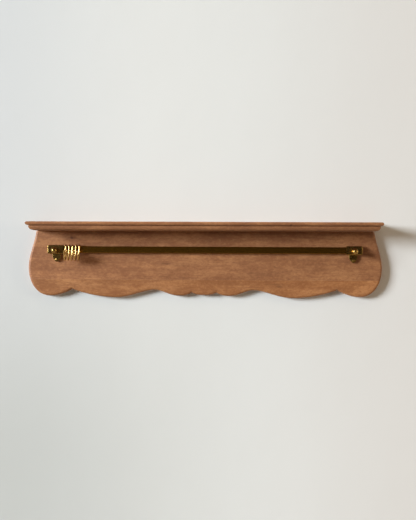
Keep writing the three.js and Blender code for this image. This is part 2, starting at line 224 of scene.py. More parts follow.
# Growth rings round an axis along the board, streaks, fibres and pores, all drawn out along X.
def woodGroup():
    inputs = [
        ("Vector", vectorSocket, None), ("Seed", floatSocket, 0.0), ("Ring Scale", floatSocket, 9.0),
        ("Heart Depth", floatSocket, 0.12), ("Heart Height", floatSocket, 0.0),
    ]
    outputs = ("Rings", "Bands", "Mottle", "Flecks", "Fibre", "Pores", "Height")
    tree, start, end = newGroup("woodFigure", inputs, outputs)
    spot, seed = start["Vector"], start["Seed"]
    shiftParts = {0: times(tree, seed, 3.1), 1: seed, 2: times(tree, seed, 1.7)}
    shift = addNode(tree, "ShaderNodeCombineXYZ", shiftParts).outputs[0]
    moved = vectorMaths(tree, "ADD", spot, shift)
    # the figure sways up to 15 mm to each side on its way along the board
    sway = streaky(tree, moved, (3.4, 8.0, 11.0), 2.5).node.outputs["Color"]
    swayed = scaledVector(tree, vectorMaths(tree, "SUBTRACT", sway, (0.5, 0.5, 0.5)), 0.03)
    grain = vectorMaths(tree, "ADD", moved, swayed)
    heartParts = {1: start["Heart Depth"], 2: start["Heart Height"]}
    heart = addNode(tree, "ShaderNodeCombineXYZ", heartParts).outputs[0]
    around = vectorMaths(tree, "ADD", vectorMaths(tree, "SUBTRACT", spot, heart), swayed)
    radius = vectorMaths(tree, "LENGTH", vectorMaths(tree, "MULTIPLY", around, (0.05, 1.0, 1.0)))
    turns = times(tree, radius, times(tree, start["Ring Scale"], 100.0))
    uneven = streaky(tree, grain, (1.5, 30.0, 30.0))
    turns = maths(tree, "ADD", turns, times(tree, uneven, 9.0))
    rings = maths(tree, "MULTIPLY_ADD", maths(tree, "SINE", turns), 0.5)
    rings.node.inputs[2].default_value = 0.5
    streaks = streaky(tree, grain, (9.0, 190.0, 190.0), 4.0, 0.6)
    fine = streaky(tree, grain, (60.0, 1100.0, 1100.0), 2.0, 0.55)
    fibre = times(tree, maths(tree, "ADD", streaks, fine), 0.5)
    dashes = streaky(tree, grain, (75.0, 1500.0, 1500.0), 1.0, 0.4, (3.3, 1.0, 2.0))
    clumps = ranged(tree, streaky(tree, grain, (4.0, 45.0, 45.0), 2.0, 0.5, (8.0, 2.0, 5.0)), 0.3, 0.7)
    pores = times(tree, ranged(tree, dashes, 0.6, 0.72), clumps, clamp=True)
    parts = {
        "Rings": rings,
        "Bands": streaky(tree, grain, (2.4, 34.0, 34.0), 4.0, 0.55),
        "Mottle": streaky(tree, moved, (11.0, 24.0, 30.0), 5.0, 0.62, (5.0, 3.0, 9.0)),
        "Flecks": streaky(tree, moved, (130.0, 190.0, 210.0), 3.0, 0.65, (2.0, 7.0, 4.0)),
        "Fibre": fibre,
        "Pores": pores,
        "Height": maths(tree, "SUBTRACT", times(tree, fibre, 0.5), times(tree, pores, 0.5)),
    }
    for label, value in parts.items():
        tree.links.new(value, end.inputs[label])
    return tree


# A soft-edged oval mark in the wood, such as a knot or a mineral streak.
def markGroup():
    inputs = [(label, vectorSocket, None) for label in ("Vector", "Centre", "Size")]
    tree, start, end = newGroup("woodMark", inputs, ["Mask"])
    ragged = noise(tree, start["Vector"], 120.0)
    away = vectorMaths(tree, "SUBTRACT", start["Vector"], start["Centre"])
    reach = vectorMaths(tree, "LENGTH", vectorMaths(tree, "DIVIDE", away, start["Size"]))
    reach = maths(tree, "ADD", reach, times(tree, ragged, 0.9))
    tree.links.new(ranged(tree, reach, 1.5, 0.7, smooth=True), end.inputs["Mask"])
    return tree


def patinaGroup():
    inputs = [("Vector", vectorSocket, None), ("Scale", floatSocket, 1.0)]
    tree, start, end = newGroup("patina", inputs, ("Mottle", "Fine", "Scratches"))
    spot, scale = start["Vector"], start["Scale"]
    scratches = streaky(tree, spot, (25.0, 1600.0, 1600.0), 2.0)
    feed(tree, scratches.node.inputs["Scale"], scale)
    parts = {
        "Mottle": noise(tree, spot, times(tree, scale, 60.0), 5.0, 0.6),
        "Fine": noise(tree, spot, times(tree, scale, 700.0), 3.0, 0.6),
        "Scratches": scratches,
    }
    for label, value in parts.items():
        tree.links.new(value, end.inputs[label])
    return tree


edgeWear = edgeWearGroup()
woodFigure = woodGroup()
woodMark = markGroup()
patina = patinaGroup()


# finishes

# the brightness at the left and right ends is painted light: the shelf and upper plank are painted
# lighter at the left, where the light from the left lays a sheen on the wood, and darker at the right;
# the lower plank is nearly even
mangoLooks = {
    "light": (0.43, 0.19, 0.079), "mid": (0.33, 0.138, 0.055), "dark": (0.225, 0.086, 0.033),
    "pore": (0.1, 0.036, 0.013), "worn": (0.52, 0.33, 0.18), "glow": (0.51, 0.245, 0.1),
    "paintedSideLight": (1.11, 0.91),
}
orangeLooks = {
    **mangoLooks,
    "light": (0.44, 0.193, 0.07), "mid": (0.345, 0.141, 0.047), "dark": (0.235, 0.085, 0.027),
    "paintedSideLight": (1.04, 1.06),
}
# part of the figure, (from, to, share at from, share at to), tone that is mixed in
figureSteps = (
    ("Bands", (0.36, 0.66, 0.0, 1.0), "light"),
    ("Rings", (0.45, 1.0, 0.0, 0.14), "dark"),
    ("Mottle", (0.58, 0.36, 0.0, 0.7), "dark"),
    ("Mottle", (0.5, 0.7, 0.0, 0.65), "glow"),
    ("Flecks", (0.5, 0.34, 0.0, 0.55), "dark"),
    ("Flecks", (0.52, 0.68, 0.0, 0.4), "glow"),
    ("Fibre", (0.38, 0.56, 0.5, 0.0), "dark"),
)
grainPlan = {
    "pores": 0.6, "poreRoughness": 0.2, "rough": (0.35, 0.6, 0.62, 0.5),
    "wearWidth": 1.2 * mm, "wear": 0.35, "bump": 0.5, "relief": 0.4 * mm, "paintedSideLightEnds": (-0.46, 0.46),
}


# marks are (centre, size, strength) in metres, knots and streaks
def mangoMaterial(name, seed, heartDepth, heartHeight, marks=(), looks=mangoLooks, plan=grainPlan):
    material, tree, shader, spot = newMaterial(name)
    heart = {"Heart Depth": heartDepth, "Heart Height": heartHeight}
    figure = useGroup(tree, woodFigure, {"Vector": spot, "Seed": seed, **heart})
    colour = looks["mid"]
    for part, span, tone in figureSteps:
        colour = mixColour(tree, ranged(tree, figure[part], *span), colour, looks[tone])
    for centre, size, strength in marks:
        mark = useGroup(tree, woodMark, {"Vector": spot, "Centre": centre, "Size": size})
        colour = mixColour(tree, times(tree, mark["Mask"], strength), colour, looks["pore"])
    colour = mixColour(tree, times(tree, figure["Pores"], plan["pores"]), colour, looks["pore"])
    wearInputs = {"Vector": spot, "Width": plan["wearWidth"], "Strength": plan["wear"]}
    wear = useGroup(tree, edgeWear, wearInputs)
    colour = mixColour(tree, wear["Mask"], colour, looks["worn"])
    # painted light: the colour is scaled from the left end to the right end, in place of the sheen the
    # light from the left gives the wood
    along = addNode(tree, "ShaderNodeSeparateXYZ", {0: spot}).outputs["X"]
    paintedSideLight = ranged(tree, along, *plan["paintedSideLightEnds"], *looks["paintedSideLight"])
    tree.links.new(scaledVector(tree, colour, paintedSideLight), shader.inputs["Base Color"])
    rough = ranged(tree, figure["Fibre"], *plan["rough"])
    rough = maths(tree, "ADD", rough, times(tree, figure["Pores"], plan["poreRoughness"]))
    tree.links.new(rough, shader.inputs["Roughness"])
    tree.links.new(bumpOf(tree, figure["Height"], plan["bump"], plan["relief"]), shader.inputs["Normal"])
    return material


brassLooks = {
    "rail": {
        "clean": (0.42, 0.225, 0.04), "aged": (0.39, 0.205, 0.034), "rubbed": (0.45, 0.27, 0.08),
        "shine": (0.23, 0.25), "wear": 0.3, "bump": 0.03, "scratches": 0.15, "agedSpan": (0.42, 0.62),
    },
    "bracket": {
        "clean": (0.48, 0.32, 0.1), "aged": (0.24, 0.15, 0.045), "rubbed": (0.62, 0.45, 0.2),
        "shine": (0.2, 0.32), "wear": 0.5, "bump": 0.2, "scratches": 1.0, "agedSpan": (0.42, 0.62),
    },
    "hook": {
        "clean": (0.68, 0.47, 0.2), "aged": (0.46, 0.29, 0.1), "rubbed": (0.78, 0.57, 0.28),
        "shine": (0.18, 0.26), "wear": 0.3, "bump": 0.04, "scratches": 0.3, "agedSpan": (0.5, 0.7),
    },
}
metalPlan = {
    "agedShare": (0.35, 1.0), "wearWidth": 0.8 * mm, "scratchRoughness": (-0.04, 0.05),
    "scratchHeight": 0.5, "relief": 0.1 * mm,
}


def brassMaterial(name, looks, plan=metalPlan):
    material, tree, shader, spot = newMaterial(name, Metallic=1.0)
    skin = useGroup(tree, patina, {"Vector": spot, "Scale": 1.0})
    aged = ranged(tree, skin["Mottle"], *looks["agedSpan"], *plan["agedShare"])
    colour = mixColour(tree, aged, looks["clean"], looks["aged"])
    wearInputs = {"Vector": spot, "Width": plan["wearWidth"], "Strength": looks["wear"]}
    wear = useGroup(tree, edgeWear, wearInputs)
    colour = mixColour(tree, wear["Mask"], colour, looks["rubbed"])
    tree.links.new(colour, shader.inputs["Base Color"])
    rough = ranged(tree, skin["Mottle"], 0.35, 0.65, *looks["shine"])
    smoother, rougher = (share * looks["scratches"] for share in plan["scratchRoughness"])
    rough = maths(tree, "ADD", rough, ranged(tree, skin["Scratches"], 0.35, 0.65, smoother, rougher))
    tree.links.new(rough, shader.inputs["Roughness"])
    height = maths(tree, "ADD", skin["Fine"], times(tree, skin["Scratches"], plan["scratchHeight"]))
    tree.links.new(bumpOf(tree, height, looks["bump"], plan["relief"]), shader.inputs["Normal"])
    return material


def zincMaterial():
    material, tree, shader, spot = newMaterial("zincPlate", Metallic=1.0)
    skin = useGroup(tree, patina, {"Vector": spot, "Scale": 2.0})
    mottle = ranged(tree, skin["Mottle"], 0.4, 0.65)
    colour = mixColour(tree, mottle, (0.62, 0.62, 0.6), (0.42, 0.42, 0.41))
    tree.links.new(colour, shader.inputs["Base Color"])
    tree.links.new(ranged(tree, skin["Fine"], 0.3, 0.7, 0.32, 0.5), shader.inputs["Roughness"])
    return material


def beechMaterial():
    material, tree, shader, spot = newMaterial("beechPlain")
    figure = useGroup(tree, woodFigure, {"Vector": spot, "Seed": 5.0})
    colour = mixColour(tree, figure["Fibre"], (0.6, 0.4, 0.22), (0.72, 0.53, 0.33))
    tree.links.new(colour, shader.inputs["Base Color"])
    tree.links.new(ranged(tree, figure["Fibre"], 0.3, 0.7, 0.75, 0.6), shader.inputs["Roughness"])
    return material


# the stage

# the wall's colour is painted shade: darker and cooler to the left, darker low on the left and a little
# darker and warmer to the right, standing in for the uneven light across it
wallLooks = {
    "middle": (0.785, 0.815, 0.82), "right": (0.755, 0.76, 0.755),
    "left": (0.66, 0.7, 0.73), "leftShadeShare": 0.85, "low": (0.54, 0.57, 0.56), "lowShadeShare": 0.8,
    "roughness": 0.9, "grit": 0.06, "bump": 0.25, "relief": 10 * mm,
}
stagePlan = {"wall": 0.8 * mm, "half": 5.0, "floor": -1.3, "top": 2.4, "clearWithin": 2.5 * mm}


def wallMaterial(looks, clearWithin):
    material, tree, shader, spot = newMaterial("paleWall", Roughness=looks["roughness"])
    place = addNode(tree, "ShaderNodeSeparateXYZ", {0: spot}).outputs
    # painted shade: the colour darkens towards the left, the lower left and the right
    left = ranged(tree, place["X"], -0.1, -0.62, smooth=True)
    down = ranged(tree, place["Z"], 0.15, -0.6, smooth=True)
    low = times(tree, down, ranged(tree, place["X"], 0.3, -0.6, smooth=True))
    right = ranged(tree, place["X"], 0.05, 0.6, smooth=True)
    colour = mixColour(tree, right, looks["middle"], looks["right"])
    colour = mixColour(tree, times(tree, left, looks["leftShadeShare"]), colour, looks["left"])
    colour = mixColour(tree, times(tree, low, looks["lowShadeShare"]), colour, looks["low"])
    tree.links.new(colour, shader.inputs["Base Color"])
    grit = times(tree, noise(tree, spot, 60.0), looks["grit"])
    height = maths(tree, "ADD", noise(tree, spot, 3.0, 4.0), grit)
    tree.links.new(bumpOf(tree, height, looks["bump"], looks["relief"]), shader.inputs["Normal"])
    # clear from behind, and to light on its way to the back of the board that hangs on it
    clear = addNode(tree, "ShaderNodeBsdfTransparent")
    behind = addNode(tree, "ShaderNodeNewGeometry").outputs["Backfacing"]
    rayLength = addNode(tree, "ShaderNodeLightPath").outputs["Ray Length"]
    seeThrough = maths(tree, "MAXIMUM", behind, maths(tree, "LESS_THAN", rayLength, clearWithin))
    shaders = {0: seeThrough, 1: shader.outputs[0], 2: clear.outputs[0]}
    both = addNode(tree, "ShaderNodeMixShader", shaders)
    output = next(n for n in tree.nodes if n.type == "OUTPUT_MATERIAL")
    tree.links.new(both.outputs[0], output.inputs["Surface"])
    return material


# pale to the eye, but it throws little light up under the shelf
floorLooks = {"seen": (0.6, 0.595, 0.58), "mirrored": (0.46, 0.37, 0.27), "bounced": (0.25, 0.22, 0.19)}


def floorMaterial(looks):
    material, tree, shader = newMaterial("paleFloor", Roughness=0.9, Specular_IOR_Level=0.1)[:3]
    path = addNode(tree, "ShaderNodeLightPath").outputs
    colour = mixColour(tree, path["Is Glossy Ray"], looks["bounced"], looks["mirrored"])
    colour = mixColour(tree, path["Is Camera Ray"], colour, looks["seen"])
    tree.links.new(colour, shader.inputs["Base Color"])
    return material


def stagePlane(name, corners, material):
    mesh = bpy.data.meshes.new(name)
    mesh.from_pydata(corners, [], [(0, 1, 2, 3)])
    mesh.materials.append(material)
    plane = bpy.data.objects.new(name, mesh)
    bpy.context.scene.collection.objects.link(plane)


def makeStage(plan):
    back, half, low, high = plan["wall"], plan["half"], plan["floor"], plan["top"]
    wall = [(-half, back, low), (half, back, low), (half, back, high), (-half, back, high)]
    stagePlane("wall", wall, wallMaterial(wallLooks, plan["clearWithin"]))
    floor = [(-half, -half, low), (half, -half, low), (half, half, low), (-half, half, low)]
    stagePlane("floor", floor, floorMaterial(floorLooks))


# Pale to the eye all round, but what lights the shelf is dim where the room in front of it would be.
skyLooks = {
    "low": (0.085, 0.058, 0.034), "high": (0.8, 0.6, 0.4), "wallSide": (0.75, 0.76, 0.77),
    "frontLeft": (0.065, 0.047, 0.03), "frontRight": (0.03, 0.02, 0.011), "seen": (0.66, 0.66, 0.65),
}


def makeWorld(looks):
    world = bpy.data.worlds.new("studio")
    bpy.context.scene.world = world
    world.use_nodes = True
    tree = world.node_tree
    background = next(n for n in tree.nodes if n.type == "BACKGROUND")
    away = addNode(tree, "ShaderNodeTexCoord").outputs["Generated"]
    parts = addNode(tree, "ShaderNodeSeparateXYZ", {0: away}).outputs
    height = ranged(tree, parts["Z"], -0.2, 0.9, smooth=True)
    colour = mixColour(tree, height, looks["low"], looks["high"])
    side = ranged(tree, parts["X"], -0.25, 0.25)
    room = mixColour(tree, side, looks["frontLeft"], looks["frontRight"])
    colour = mixColour(tree, ranged(tree, parts["Y"], -0.5, -0.93, smooth=True), colour, room)
    behind = ranged(tree, parts["Y"], 0.0, 0.3, smooth=True)
    colour = mixColour(tree, behind, colour, looks["wallSide"])
    seen = addNode(tree, "ShaderNodeLightPath").outputs["Is Camera Ray"]
    tree.links.new(mixColour(tree, seen, colour, looks["seen"]), background.inputs["Color"])
    background.inputs["Strength"].default_value = 1.0


makeCamera(cameraPlan)
for lightName, plan in lightPlan.items():
    makeLight(lightName, plan)
makeStage(stagePlan)
makeWorld(skyLooks)
bpy.context.scene.view_settings.view_transform = "Standard"
print("stage, lights and camera are set")


# mesh helpers

def arc(centreX, centreY, radius, fromDegrees, toDegrees, steps, radiusY=None):
    points = []
    for i in range(steps + 1):
        angle = math.radians(fromDegrees + (toDegrees - fromDegrees) * i / steps)
        y = centreY + (radiusY or radius) * math.sin(angle)
        points.append((centreX + radius * math.cos(angle), y))
    return points


# a cubic curve without its first point, which the caller has already
def cubic(start, first, second, end, steps):
    points = []
    for i in range(1, steps + 1):
        t = i / steps
        s = 1 - t
        weights = (s * s * s, 3 * s * s * t, 3 * s * t * t, t * t * t)
        pairs = list(zip(weights, (start, first, second, end)))
        points.append(tuple(sum(w * p[k] for w, p in pairs) for k in (0, 1)))
    return points


# moves a closed outline, drawn anticlockwise, inwards by one distance, with sharp corners held back
def insetLoop(loop, amount, leastCosine=0.4):
    moved = []
    for i, here in enumerate(loop):
        before, after = Vector(loop[i - 1]), Vector(loop[(i + 1) % len(loop)])
        a, b = (Vector(here) - before).normalized(), (after - Vector(here)).normalized()
        sideA, sideB = Vector((-a.y, a.x)), Vector((-b.y, b.x))
        middle = (sideA + sideB).normalized()
        moved.append(Vector(here) + middle * amount / max(middle.dot(sideA), leastCosine))
    return moved


def bridgeRings(bm, rings):
    for lower, upper in zip(rings, rings[1:]):
        for i in range(len(lower)):
            j = (i + 1) % len(lower)
            bm.faces.new((lower[i], lower[j], upper[j], upper[i]))


# An outline in X and Z that stands out from the wall, from near to far, its front rim rounded.
# A narrow band round each face keeps its shading flat.
def roundedPlate(outline, near, far, frontRound, steps=6, band=0.6 * mm):
    sections = [(band, near), (0.0, near)]
    for i in range(steps + 1):
        angle = math.pi / 2 * i / steps
        inset, back = frontRound * (1 - math.cos(angle)), frontRound * (1 - math.sin(angle))
        sections.append((inset, far - back))
    sections.append((frontRound + band, far))
    bm = bmesh.new()
    rings = []
    for inset, distance in sections:
        rings.append([bm.verts.new((p[0], -distance, p[1])) for p in insetLoop(outline, inset)])
    bridgeRings(bm, rings)
    bm.faces.new(rings[0][::-1])
    bm.faces.new(rings[-1])
    return bm


# A profile of (radius, distance from the wall), its first and last points on the axis, turned round
# an axis that leads out from the wall.
def turnedSolid(profile, x, z, segments=48):
    bm = bmesh.new()
    angles = [2 * math.pi * i / segments for i in range(segments)]
    rings = []
    for radius, distance in profile[1:-1]:
        circle = [(x + radius * math.cos(t), -distance, z + radius * math.sin(t)) for t in angles]
        rings.append([bm.verts.new(place) for place in circle])
    bridgeRings(bm, rings)
    for ring, (radius, distance) in ((rings[0], profile[0]), (rings[-1], profile[-1])):
        tip = bm.verts.new((x, -distance, z))
        for i in range(segments):
            bm.faces.new((ring[i], ring[(i + 1) % segments], tip))
    return bm


def toObject(bm, name):
    bmesh.ops.recalc_face_normals(bm, faces=bm.faces)
    mesh = bpy.data.meshes.new(name)
    bm.to_mesh(mesh)
    bm.free()
    made = bpy.data.objects.new(name, mesh)
    bpy.context.scene.collection.objects.link(made)
    return made


def settle(made):
    bpy.context.view_layer.update()
    evaluated = made.evaluated_get(bpy.context.evaluated_depsgraph_get())
    mesh = bpy.data.meshes.new_from_object(evaluated)
    made.modifiers.clear()
    made.data = mesh
    mesh.name = made.name


def combine(made, other, operation):
    modifier = made.modifiers.new("combine", "BOOLEAN")
    modifier.operation = operation
    modifier.solver = "EXACT"
    modifier.object = other
    settle(made)
    bpy.data.objects.remove(other)


def smoothByAngle(made, degrees):
    bm = bmesh.new()
    bm.from_mesh(made.data)
    bmesh.ops.remove_doubles(bm, verts=bm.verts, dist=1e-6)
    bmesh.ops.dissolve_degenerate(bm, edges=bm.edges, dist=1e-7)
    for face in bm.faces:
        face.smooth = True
    for edge in bm.edges:
        edge.smooth = not (edge.is_manifold and edge.calc_face_angle() > math.radians(degrees))
    bm.to_mesh(made.data)
    bm.free()


def finishPiece(made, body, slotName, material, *standsFor, sharpAbove=32):
    smoothByAngle(made, sharpAbove)
    # keeps broad faces flat beside rounded edges
    flatter = made.modifiers.new("flatter", "WEIGHTED_NORMAL")
    flatter.keep_sharp = True
    settle(made)
    made.data.materials.clear()
    made.data.materials.append(material)
    for polygon in made.data.polygons:
        polygon.material_index = 0
    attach(made, body)
    if standsFor:
        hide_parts(*standsFor)


def boxSolid(low, high):
    bm = bmesh.new()
    bmesh.ops.create_cube(bm, size=1.0)
    size, middle = Vector(high) - Vector(low), (Vector(high) + Vector(low)) / 2
    bmesh.ops.scale(bm, vec=size, verts=bm.verts)
    bmesh.ops.translate(bm, vec=middle, verts=bm.verts)
    return bm


# shelf board

shelfPlan = {
    "bead": 4.6 * mm, "quirkInset": 9 * mm, "filletInset": 7.4 * mm, "filletDrop": 9.9 * mm,
    "filletHeight": 6 * mm, "ovoloInset": 8.8 * mm, "lip": 0.5 * mm, "inset": 17 * mm,
    "arris": 0.7 * mm, "corner": 1.0 * mm, "topBand": 1.2 * mm, "underBand": 1.5 * mm,
}


# (distance in from the nose, height above the underside) from the underside up to the top
def routedProfile(plan, thickness):
    bead, quirk, fillet = plan["bead"], plan["quirkInset"], plan["filletInset"]
    inset, ovolo, arris = plan["inset"], plan["ovoloInset"], plan["arris"]
    cut = arris * 0.3
    filletTop = thickness - plan["filletDrop"]
    ovoloTop = filletTop - plan["filletHeight"]
    points = [(inset + plan["underBand"], 0.0), (inset + arris, 0.0), (inset, arris)]
    curve = arc(0, 0, inset - ovolo, -90, 0, 14, ovoloTop - plan["lip"])
    points += [(inset - x, ovoloTop + y) for x, y in curve]
    points += [(fillet + arris, ovoloTop), (fillet + cut, ovoloTop + cut), (fillet, ovoloTop + arris)]
    points += [(fillet, filletTop - arris), (fillet + cut, filletTop - cut), (fillet + arris, filletTop)]
    beadLow = thickness - 2 * bead
    points += [(quirk, filletTop), (quirk, beadLow), (bead + plan["topBand"], beadLow)]
    points += [(bead - x, thickness - bead + y) for x, y in arc(0, 0, bead, -90, 90, 18)]
    return points + [(bead + plan["topBand"], thickness)]


def shelfBoard(plan):
    half, front, back = shelfHigh.x, shelfLow.y, shelfHigh.y
    bm = bmesh.new()
    rings = []
    for inset, height in routedProfile(plan, shelfHigh.z - shelfLow.z):
        x, y, r = half - inset, front + inset, plan["corner"]
        rightCorner = arc(x - r, y + r, r, -90, 0, 4)
        leftCorner = arc(-x + r, y + r, r, 180, 270, 4)
        loop = leftCorner + rightCorner + [(x, back), (-x, back)]
        rings.append([bm.verts.new((px, py, shelfLow.z + height)) for px, py in loop])
    bridgeRings(bm, rings)
    bm.faces.new(rings[0][::-1])
    bm.faces.new(rings[-1])
    return toObject(bm, "shelfBoardWood")


shelfMarks = [((0.222, -0.1, 0.053), (0.0035, 0.02, 0.004), 0.8)]
shelfWood = mangoMaterial("mangoShelf", 1.3, 0.06, -0.09, shelfMarks)
finishPiece(shelfBoard(shelfPlan), mainBody, "mango_wood", shelfWood, "shelf_board", sharpAbove=40)
print("shelf board made")


# backboard

# right half of the outline in millimetres, out from the middle and down from the shelf's top
scallops = [
    ((444.5, 46), (465, 80), (465, 119)),  # flaring side
    ((465, 160.5), (441, 193), (408, 193)),  # round end
    ((384, 193), (365, 184), (348.6, 174.8)),  # up to the outer cusp
    ((318, 188), (268, 196.8), (233.7, 196.8)),  # long scallop
    ((196, 196.8), (156, 176.2), (131.1, 176.2)),  # up to the soft crest
    ((110, 176.2), (92, 191.6), (67.4, 191.6)),  # small scallop
    ((52, 191.6), (41, 189), (32.4, 183.2)),  # up to the inner cusp
    ((24, 188), (13, 190), (0, 190)),  # middle scallop
]
boardPlan = {"start": (444.5, 13), "steps": 22, "frontRound": 6 * mm}
hangerPlan = {
    "x": 0.3, "width": 16.6 * mm, "height": 50.6 * mm, "corner": 3 * mm, "plate": 2.1 * mm,
    "plateMiddle": -7.3 * mm, "plateRound": 0.05 * mm, "pocket": 6.5 * mm, "depth": 9 * mm,
    "slotLow": -14.6 * mm, "pocketRound": 0.4 * mm, "past": 2 * mm,
}


def boardOutline(plan):
    half = [plan["start"]]
    for first, second, end in scallops:
        half += cubic(half[-1], first, second, end, plan["steps"])
    right = [(x * mm, shelfHigh.z - drop * mm) for x, drop in half]
    left = [(-x, z) for x, z in right[:-1]]
    return left + right[::-1]  # anticlockwise from the front


def keepBetween(bm, low, high):
    for level, away in ((low, (0, 0, -1)), (high, (0, 0, 1))):
        cutAt = {"plane_co": (0, 0, level), "plane_no": away, "clear_outer": True}
        everything = bm.verts[:] + bm.edges[:] + bm.faces[:]
        cut = bmesh.ops.bisect_plane(bm, geom=everything, dist=1e-7, **cutAt)
        rim = [e for e in cut["geom_cut"] if isinstance(e, bmesh.types.BMEdge)]
        bmesh.ops.edgeloop_fill(bm, edges=rim)


def uprightSlot(x, low, high, radius, steps=10):
    return arc(x, high, radius, 0, 180, steps) + arc(x, low, radius, 180, 360, steps)


def roundedRectangle(x, z, half, height, corner, steps):
    points = []
    for dx, dz, angle in ((1, 1, 0), (-1, 1, 90), (-1, -1, 180), (1, -1, 270)):
        cx, cz = x + dx * (half - corner), z + dz * (height - corner)
        points += arc(cx, cz, corner, angle, angle + 90, steps)
    return points


# the shallow recess for a keyhole plate, and the deeper pocket behind its slot
def hangerCutters(side, plan):
    x, half, height = side * plan["x"], plan["width"] / 2, plan["height"] / 2
    plate = roundedRectangle(x, plan["plateMiddle"], half, height, plan["corner"], 5)
    recess = roundedPlate(plate, -plan["past"], plan["plate"], plan["plateRound"], 1)
    slot = uprightSlot(x, plan["slotLow"], 0.0, plan["pocket"])
    pocket = roundedPlate(slot, -plan["past"], plan["depth"], plan["pocketRound"], 2)
    return toObject(recess, "recess"), toObject(pocket, "pocket")


def backboardPlank(name, low, high, withHangers):
    bm = roundedPlate(boardOutline(boardPlan), 0.0, -boardFront, boardPlan["frontRound"])
    keepBetween(bm, low, high)
    made = toObject(bm, name)
    if withHangers:
        for side in (-1, 1):
            for cutter in hangerCutters(side, hangerPlan):
                combine(made, cutter, "DIFFERENCE")
    return made


upperMarks = [
    ((-0.3498, boardFront, 0.0205), (0.006, 0.008, 0.0043), 1.0),
    ((-0.3498, boardFront, 0.0205), (0.02, 0.01, 0.006), 0.35),
    ((-0.101, boardFront, -0.047), (0.02, 0.02, 0.0035), 0.4),
    ((-0.07, boardFront, -0.052), (0.03, 0.02, 0.003), 0.25),
]
lowerMarks = [
    ((0.196, boardFront, -0.105), (0.011, 0.012, 0.004), 0.45),
    ((0.186, boardFront, -0.1), (0.03, 0.02, 0.004), 0.25),
]
upperWood = mangoMaterial("mangoUpper", 0.0, 0.09, 0.1, upperMarks)
lowerWood = mangoMaterial("mangoLower", 2.7, 0.05, -0.2, lowerMarks, orangeLooks)
upperPlank = backboardPlank("backboardUpperWood", upperLow.z, upperHigh.z, True)
finishPiece(upperPlank, mainBody, "mango_wood", upperWood, "backboard_upper_plank")
# the lower plank is cut 1 mm below its lowest edge, so only the glue line is a cut
lowerPlank = backboardPlank("backboardLowerWood", lowerLow.z - 1 * mm, lowerHigh.z, False)
finishPiece(lowerPlank, mainBody, "mango_wood_pale", lowerWood, "backboard_lower_plank")
print("backboard planks made")


# rail

railPlan = {"arris": 0.7 * mm}


def railBar(plan):
    made = toObject(boxSolid(railLow, railHigh), "railBarBrass")
    bevel = made.modifiers.new("arris", "BEVEL")
    bevel.width = plan["arris"]
    bevel.segments = 3
    settle(made)
    return made


railBrass = brassMaterial("brassRail", brassLooks["rail"])
finishPiece(railBar(railPlan), mainBody, "rail_brass", railBrass, "rail_bar")


# brackets

bracketPlan = {
    "corner": 3.4 * mm, "baseRound": 0.9 * mm, "capRound": 2.0 * mm, "tabX": 388.7 * mm,
    "tab": 11 * mm, "tabDrop": 17.5 * mm, "tip": 5.6 * mm, "tipDrop": 26.6 * mm, "fillet": 1.6 * mm,
    "collar": 6 * mm, "collarLength": 3 * mm, "collarRim": 0.5 * mm, "sunk": 2 * mm, "fit": 0.25 * mm,
}
ballPlan = {
    "radius": 8.5, "centre": 28.5, "neck": 3.2, "shank": 2.2, "tip": 1.4, "segments": 64,
    "shoulder": 15.6, "flange": 5.4, "flangeTop": 1.1, "edge": 0.3,
    "throat": ((0.5, 1.5), (0.0, 2.3)),
}


# the block's outline with the tapered tab growing out of its lower edge
def baseOutline(x, tabX, half, height, plan):
    corner, tab, tip, fillet = plan["corner"], plan["tab"], plan["tip"], plan["fillet"]
    taper = math.degrees(math.asin((tab - tip) / (plan["tipDrop"] - plan["tabDrop"])))
    low, join = railZ - height, tab + plan["fillet"]
    points = arc(x + half - corner, railZ + height - corner, corner, 0, 90, 6)
    points += arc(x - half + corner, railZ + height - corner, corner, 90, 180, 6)
    points += arc(x - half + corner, low + corner, corner, 180, 270, 6)
    points += arc(tabX - join, low - fillet, fillet, 90, 0, 5)
    points += arc(tabX, railZ - plan["tabDrop"], tab, 180, 180 + taper, 8)
    points += arc(tabX, railZ - plan["tipDrop"], tip, 180 + taper, 360 - taper, 16)
    points += arc(tabX, railZ - plan["tabDrop"], tab, 360 - taper, 360, 8)
    points += arc(tabX + join, low - fillet, fillet, 180, 90, 5)
    return points + arc(x + half - corner, low + corner, corner, 270, 360, 6)


def bracketBase(name, node, x, side, plan):
    low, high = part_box(node)
    half, height = (high.x - low.x) / 2, high.z - railZ
    outline = baseOutline(x, side * plan["tabX"], half, height, plan)
    return toObject(roundedPlate(outline, -high.y, -low.y, plan["baseRound"], 4), name)


def railCap(name, node, x, side, ballZ, plan):
    low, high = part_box(node)
    half, height = (high.x - low.x) / 2, high.z - railZ
    front = -low.y - plan["collarLength"]
    extra = plan["corner"] + plan["capRound"]  # carried past the inner end, which is then cut square
    wide = half + extra / 2
    outline = roundedRectangle(x - side * extra / 2, railZ, wide, height, plan["corner"], 6)
    made = toObject(roundedPlate(outline, -high.y, front, plan["capRound"], 6), name)
    inner = x - side * half
    left, right = sorted((inner, inner - side * 2 * extra))
    spare = boxSolid((left, low.y * 2, low.z * 3), (right, 0.0, -low.z))
    combine(made, toObject(spare, "spare"), "DIFFERENCE")
    radius, rim, tip = plan["collar"], plan["collarRim"], -low.y
    collar = [(0, front - plan["sunk"]), (radius, front - plan["sunk"]), (radius, tip - rim)]
    collar += [(radius - rim * 0.3, tip - rim * 0.3), (radius - rim, tip), (0, tip)]
    combine(made, toObject(turnedSolid(collar, x, ballZ), "collar"), "UNION")
    fit = plan["fit"]
    left, right = sorted((inner - side * extra, side * (railHigh.x + fit)))
    channel = boxSolid((left, railLow.y - fit, railLow.z - fit), (right, 0.0, railHigh.z + fit))
    combine(made, toObject(channel, "channel"), "DIFFERENCE")
    return made


